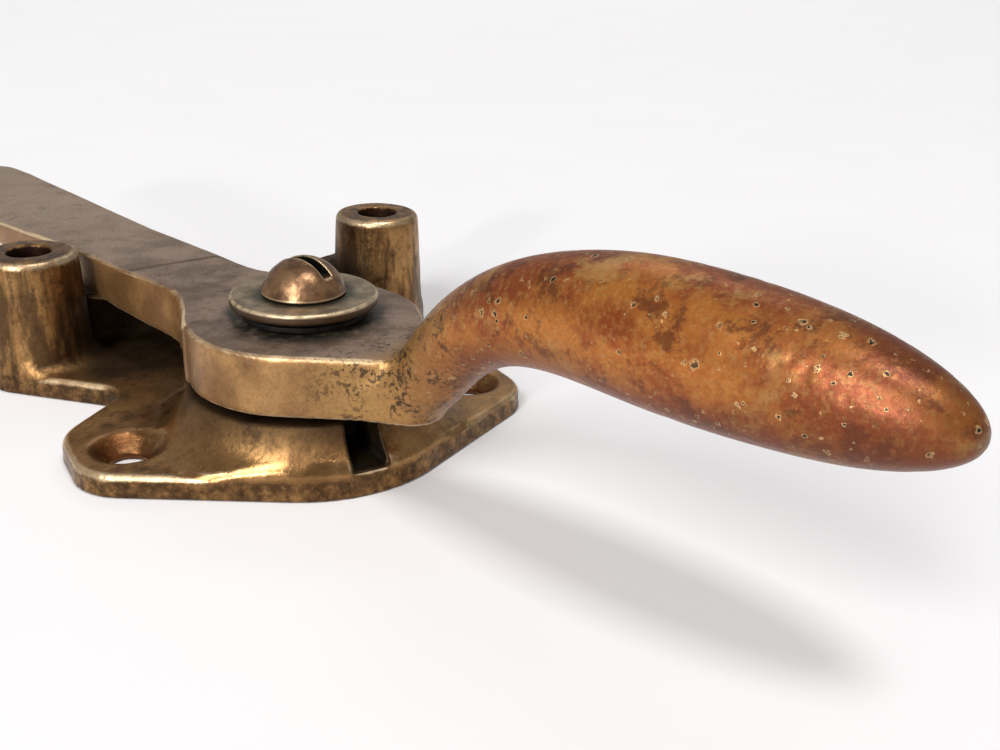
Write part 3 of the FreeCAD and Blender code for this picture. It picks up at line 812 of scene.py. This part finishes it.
def lever_brass():
    n = Nodes("lever_brass_aged")
    # hub and spur
    side = n.mix(n.ramp(n.noise(7.0), 0.40, 0.72), BROWN, GOLD)
    side = n.mix(n.math("MULTIPLY", n.layer("neck"), 0.6), side, YELLOW)
    top = n.mix(n.ramp(n.noise(8.0, 6.0, 0.65), 0.36, 0.66), GREY, GREY_DARK)
    top = n.mix(n.math("MULTIPLY", n.layer("far"), 0.7), top, GREY_PALE)
    reddish = n.math("MULTIPLY", n.ramp(n.noise(9.0, 6.0, 0.7), 0.54, 0.66), n.layer("far"))
    top = n.mix(n.math("MULTIPLY", reddish, 0.55), top, REDDISH)
    colour = n.mix(n.math("MULTIPLY", n.layer("top"), 0.9), side, top)
    stain = n.ramp(n.noise(5.0, 7.0, 0.72), 0.53, 0.72)
    colour = n.mix(n.math("MULTIPLY", stain, 0.55), colour, DARK)
    colour = n.mix(n.math("MULTIPLY", n.layer("scribe"), 0.7), colour, DARK)
    # grip
    patina = n.mix(n.ramp(n.noise(12.0, 6.0, 0.65), 0.42, 0.57), ORANGE, RED)
    patina = n.mix(n.math("MULTIPLY", n.ramp(n.noise(0.8, 6.0, 0.75), 0.47, 0.66), 0.45), patina, OCHRE)
    patina = n.mix(n.math("MULTIPLY", n.ramp(n.noise(5.0, 7.0, 0.75), 0.51, 0.60), 0.70), patina, RED_DARK)
    patina = n.mix(n.math("MULTIPLY", n.ramp(n.noise(8.0, 5.0, 0.7), 0.54, 0.68), 0.65), patina, OCHRE)
    patina = n.mix(n.math("MULTIPLY", n.layer("tip"), 0.55), patina, RED_DARK)
    # Painted shade on the grip's underside.
    patina = n.mix(n.math("MULTIPLY", n.layer("under"), 0.50), patina, RED_DARK)
    colour = n.mix(n.layer("grip"), colour, patina)
    # fine grain all over, and black specks on the neck
    grain = n.ramp(n.noise(0.45, 4.0, 0.7), 0.38, 0.70)
    colour = n.mix(n.math("MULTIPLY", grain, 0.28), colour, DARK)
    speck = n.math("MULTIPLY", n.ramp(n.noise(0.65, 2.5, 0.6), 0.50, 0.58), n.layer("neck"))
    speck = n.math("MULTIPLY", speck, n.ramp(n.noise(5.0, 4.0), 0.40, 0.55))
    colour = n.mix(n.math("MULTIPLY", speck, 0.88), colour, DARK)
    # Green-grey dirt in the hollows, darkened further as painted shade in inner corners.
    grime_and_corner_shade = n.ramp(n.math("ADD", n.layer("grime_and_corner_shade"), n.math("MULTIPLY", n.noise(3.0), 0.3)), 0.35, 0.80)
    colour = n.mix(n.math("MULTIPLY", grime_and_corner_shade, 0.7), colour, GREEN_GREY)
    # Dirt round the washer stack, with painted shadow cast by it on the hub.
    ring = n.math("MULTIPLY", n.layer("washer_ring"), n.ramp(n.noise(2.0, 4.0), 0.2, 0.6))
    colour = n.mix(n.math("MULTIPLY", ring, 0.92), colour, RING_DIRT_AND_SHADOW)
    # pits
    gathered = n.math("MULTIPLY", n.ramp(n.noise(13.0, 2.0), 0.36, 0.50), n.layer("grip"))
    large_pit, large_rim = n.pits(1.9, 0.36)
    small_pit, small_rim = n.pits(1.1, 0.40)
    pit = n.math("MULTIPLY", n.math("MAXIMUM", large_pit, small_pit), gathered)
    rim = n.math("MULTIPLY", n.math("MAXIMUM", large_rim, small_rim), gathered)
    colour = n.mix(n.math("MULTIPLY", rim, 0.50), colour, PALE)
    colour = n.mix(pit, colour, PIT)
    # edges rubbed bright, with painted edge highlights
    worn = n.ramp(n.math("ADD", n.layer("edge_wear_and_glint"), n.math("MULTIPLY", n.noise(2.2), 0.4)), 0.60, 1.00)
    worn = n.math("MULTIPLY", worn, n.math("SUBTRACT", 1.0, n.layer("grip")))
    colour = n.mix(n.math("MULTIPLY", worn, 0.7), colour, BRIGHT)
    rough = n.math("ADD", n.math("MULTIPLY", n.noise(3.0), 0.10), 0.29)
    rough = n.math("ADD", rough, n.math("MULTIPLY", n.layer("top"), 0.12))
    rough = n.math("ADD", rough, n.math("MULTIPLY", grain, 0.08))
    height = n.math("ADD", n.noise(0.6, 5.0), n.math("MULTIPLY", rim, 0.5))
    height = n.math("SUBTRACT", height, n.math("MULTIPLY", pit, 2.2))
    return n.finish(colour, rough, 0.60, height, 0.03)


def screw_brass():
    n = Nodes("screw_brass_aged")
    colour = n.mix(n.ramp(n.noise(2.2, 5.0), 0.38, 0.62), COPPER_DARK, COPPER)
    # Dirt in the slot and under the head, darkened further as painted shade in the corners.
    grime_and_corner_shade = n.ramp(n.layer("grime_and_corner_shade"), 0.25, 0.7)
    colour = n.mix(grime_and_corner_shade, colour, SCREW_DIRT_AND_SHADE)
    # Rubbed edges, brightened further as painted edge highlights.
    worn = n.ramp(n.layer("edge_wear_and_glint"), 0.35, 0.95)
    colour = n.mix(n.math("MULTIPLY", worn, 0.45), colour, BRIGHT)
    rough = n.math("ADD", n.math("MULTIPLY", n.noise(0.8), 0.2), 0.25)
    return n.finish(colour, rough, 0.9, n.noise(0.6, 4.0), 0.04)


def stack_brass():
    n = Nodes("washer_brass_aged")
    colour = n.mix(n.ramp(n.noise(2.6, 6.0, 0.65), 0.40, 0.62), WASHER, WASHER_DARK)
    place = n.add("ShaderNodeSeparateXYZ", {0: n.place})
    flat = n.add("ShaderNodeCombineXYZ", {0: place.outputs[0], 1: place.outputs[1]})
    rho = n.add("ShaderNodeVectorMath", {0: flat.outputs[0]}, operation="LENGTH").outputs["Value"]
    near_head = n.ramp(n.math("ADD", rho, n.math("MULTIPLY", n.noise(1.6), 0.0016)), 0.0086, 0.0069)
    colour = n.mix(n.math("MULTIPLY", near_head, 0.85), colour, WASHER_DIRT)
    # Painted shade: darker below the seat face, over the washer's edge and the rings in the gap under it.
    below_seat_shade = n.ramp(place.outputs[2], (SEAT_Z - 0.25) * MM, (SEAT_Z - 0.60) * MM)
    colour = n.mix(n.math("MULTIPLY", below_seat_shade, 0.9), colour, WASHER_SIDE_SHADE)
    # Painted highlight along the washer's outer top edge, partly rubbed brass.
    outer = n.ramp(rho, (WASHER_R - 0.55) * MM, (WASHER_R - 0.25) * MM)
    rim = n.math("MULTIPLY", outer, n.math("SUBTRACT", 1.0, below_seat_shade))
    rim = n.math("MULTIPLY", rim, n.ramp(n.noise(1.5), 0.30, 0.55))
    colour = n.mix(n.math("MULTIPLY", rim, 0.7), colour, BRIGHT)
    rough = n.math("ADD", n.math("MULTIPLY", n.noise(1.2), 0.25), 0.32)
    return n.finish(colour, rough, 0.85, n.noise(0.7, 4.0), 0.04)


def spring_steel():
    n = Nodes("spring_steel_aged")
    # Dark steel, taken to near black as painted shade in the gap under the retaining washer.
    colour = n.mix(n.ramp(n.noise(1.5), 0.4, 0.6), STEEL_BLACK, STEEL)
    return n.finish(colour, 0.55, 0.6, n.noise(0.5), 0.03)


# ------------------------------------------------------------------ pieces
def add_piece(piece, body, node, material):
    piece.data.materials.append(material)
    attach(piece, body)
    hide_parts(node)


stack_material = stack_brass()
add_piece(make_base(), "base", "base_plate", base_brass())
add_piece(make_lever(), "lever", "lever", lever_brass())
add_piece(ring("bush_ring", SCREW_R + 0.08, BUSH_R - 0.02, DOME_TOP_Z, WASHER_Z), "base", "pivot_bush",
          stack_material)
add_piece(ring("friction_ring", BUSH_R + 0.08, FRICTION_R, DOME_TOP_Z, FRICTION_TOP_Z), "base",
          "friction_washer", stack_material)
add_piece(make_spring(), "base", "spring_washer", spring_steel())
add_piece(make_retainer(), "base", "retaining_washer", stack_material)
add_piece(make_screw(), "base", "pivot_screw", screw_brass())


# ------------------------------------------------------------------ floor, light and camera
CAMERA_AT = (-0.0551, -0.1515, 0.0759)
CAMERA_LENS = 43.03
CAMERA_PITCH_DEG = 22.28     # down
CAMERA_HEADING_DEG = 29.88   # from +Y towards +X
CAMERA_ROLL_DEG = 1.43
WORLD_STRENGTH = 0.32


def make_floor():
    half = 3.0
    mesh = bpy.data.meshes.new("floor")
    corners = [(-half, -half, 0), (half, -half, 0), (half, half, 0), (-half, half, 0)]
    mesh.from_pydata(corners, [], [(0, 1, 2, 3)])
    floor = bpy.data.objects.new("floor", mesh)
    bpy.context.scene.collection.objects.link(floor)
    n = Nodes("pale_paper")
    tone = n.mix(n.noise(40.0, 3.0), (0.86, 0.845, 0.85), (0.90, 0.885, 0.89))
    mesh.materials.append(n.finish(tone, 0.9, 0.0))


def soft_light(name, azimuth, elevation, distance, width, height, watts, aim=(0, 0, 0)):
    """Soft box in this direction from the object, turned to face a point on the floor."""
    data = bpy.data.lights.new(name, "AREA")
    data.shape = "RECTANGLE"
    data.size = width
    data.size_y = height
    data.energy = watts
    light = bpy.data.objects.new(name, data)
    a = math.radians(azimuth)
    e = math.radians(elevation)
    back = Vector((math.cos(a) * math.cos(e), math.sin(a) * math.cos(e), math.sin(e)))
    light.location = back * distance
    light.rotation_mode = "QUATERNION"
    light.rotation_quaternion = (light.location - Vector(aim)).to_track_quat("Z", "Y")
    bpy.context.scene.collection.objects.link(light)


def make_camera():
    data = bpy.data.cameras.new("camera")
    data.sensor_width = 36.0
    data.lens = CAMERA_LENS
    data.clip_start = 0.005
    camera = bpy.data.objects.new("camera", data)
    pitch = math.radians(CAMERA_PITCH_DEG)
    heading = math.radians(CAMERA_HEADING_DEG)
    roll = math.radians(CAMERA_ROLL_DEG)
    aim = Euler((math.pi / 2 - pitch, 0, -heading)).to_matrix() @ Matrix.Rotation(roll, 3, "Z")
    camera.matrix_world = Matrix.Translation(CAMERA_AT) @ aim.to_4x4()
    bpy.context.scene.collection.objects.link(camera)
    bpy.context.scene.camera = camera


make_floor()
soft_light("overhead", -76, 74, 4.0, 1.0, 1.0, 58)
soft_light("left_window", -146, 40, 4.0, 1.3, 2.0, 88)
soft_light("left_glint", -141, 15, 1.5, 0.12, 0.12, 7.0)
soft_light("background", 60, 42, 1.7, 0.9, 0.9, 5.0, aim=(0.9, 1.5, 0))
make_camera()

world = bpy.data.worlds.new("studio")
world.use_nodes = True
world.node_tree.nodes["Background"].inputs["Color"].default_value = (1.0, 1.0, 1.0, 1.0)
world.node_tree.nodes["Background"].inputs["Strength"].default_value = WORLD_STRENGTH
bpy.context.scene.world = world
bpy.context.scene.view_settings.view_transform = "Standard"
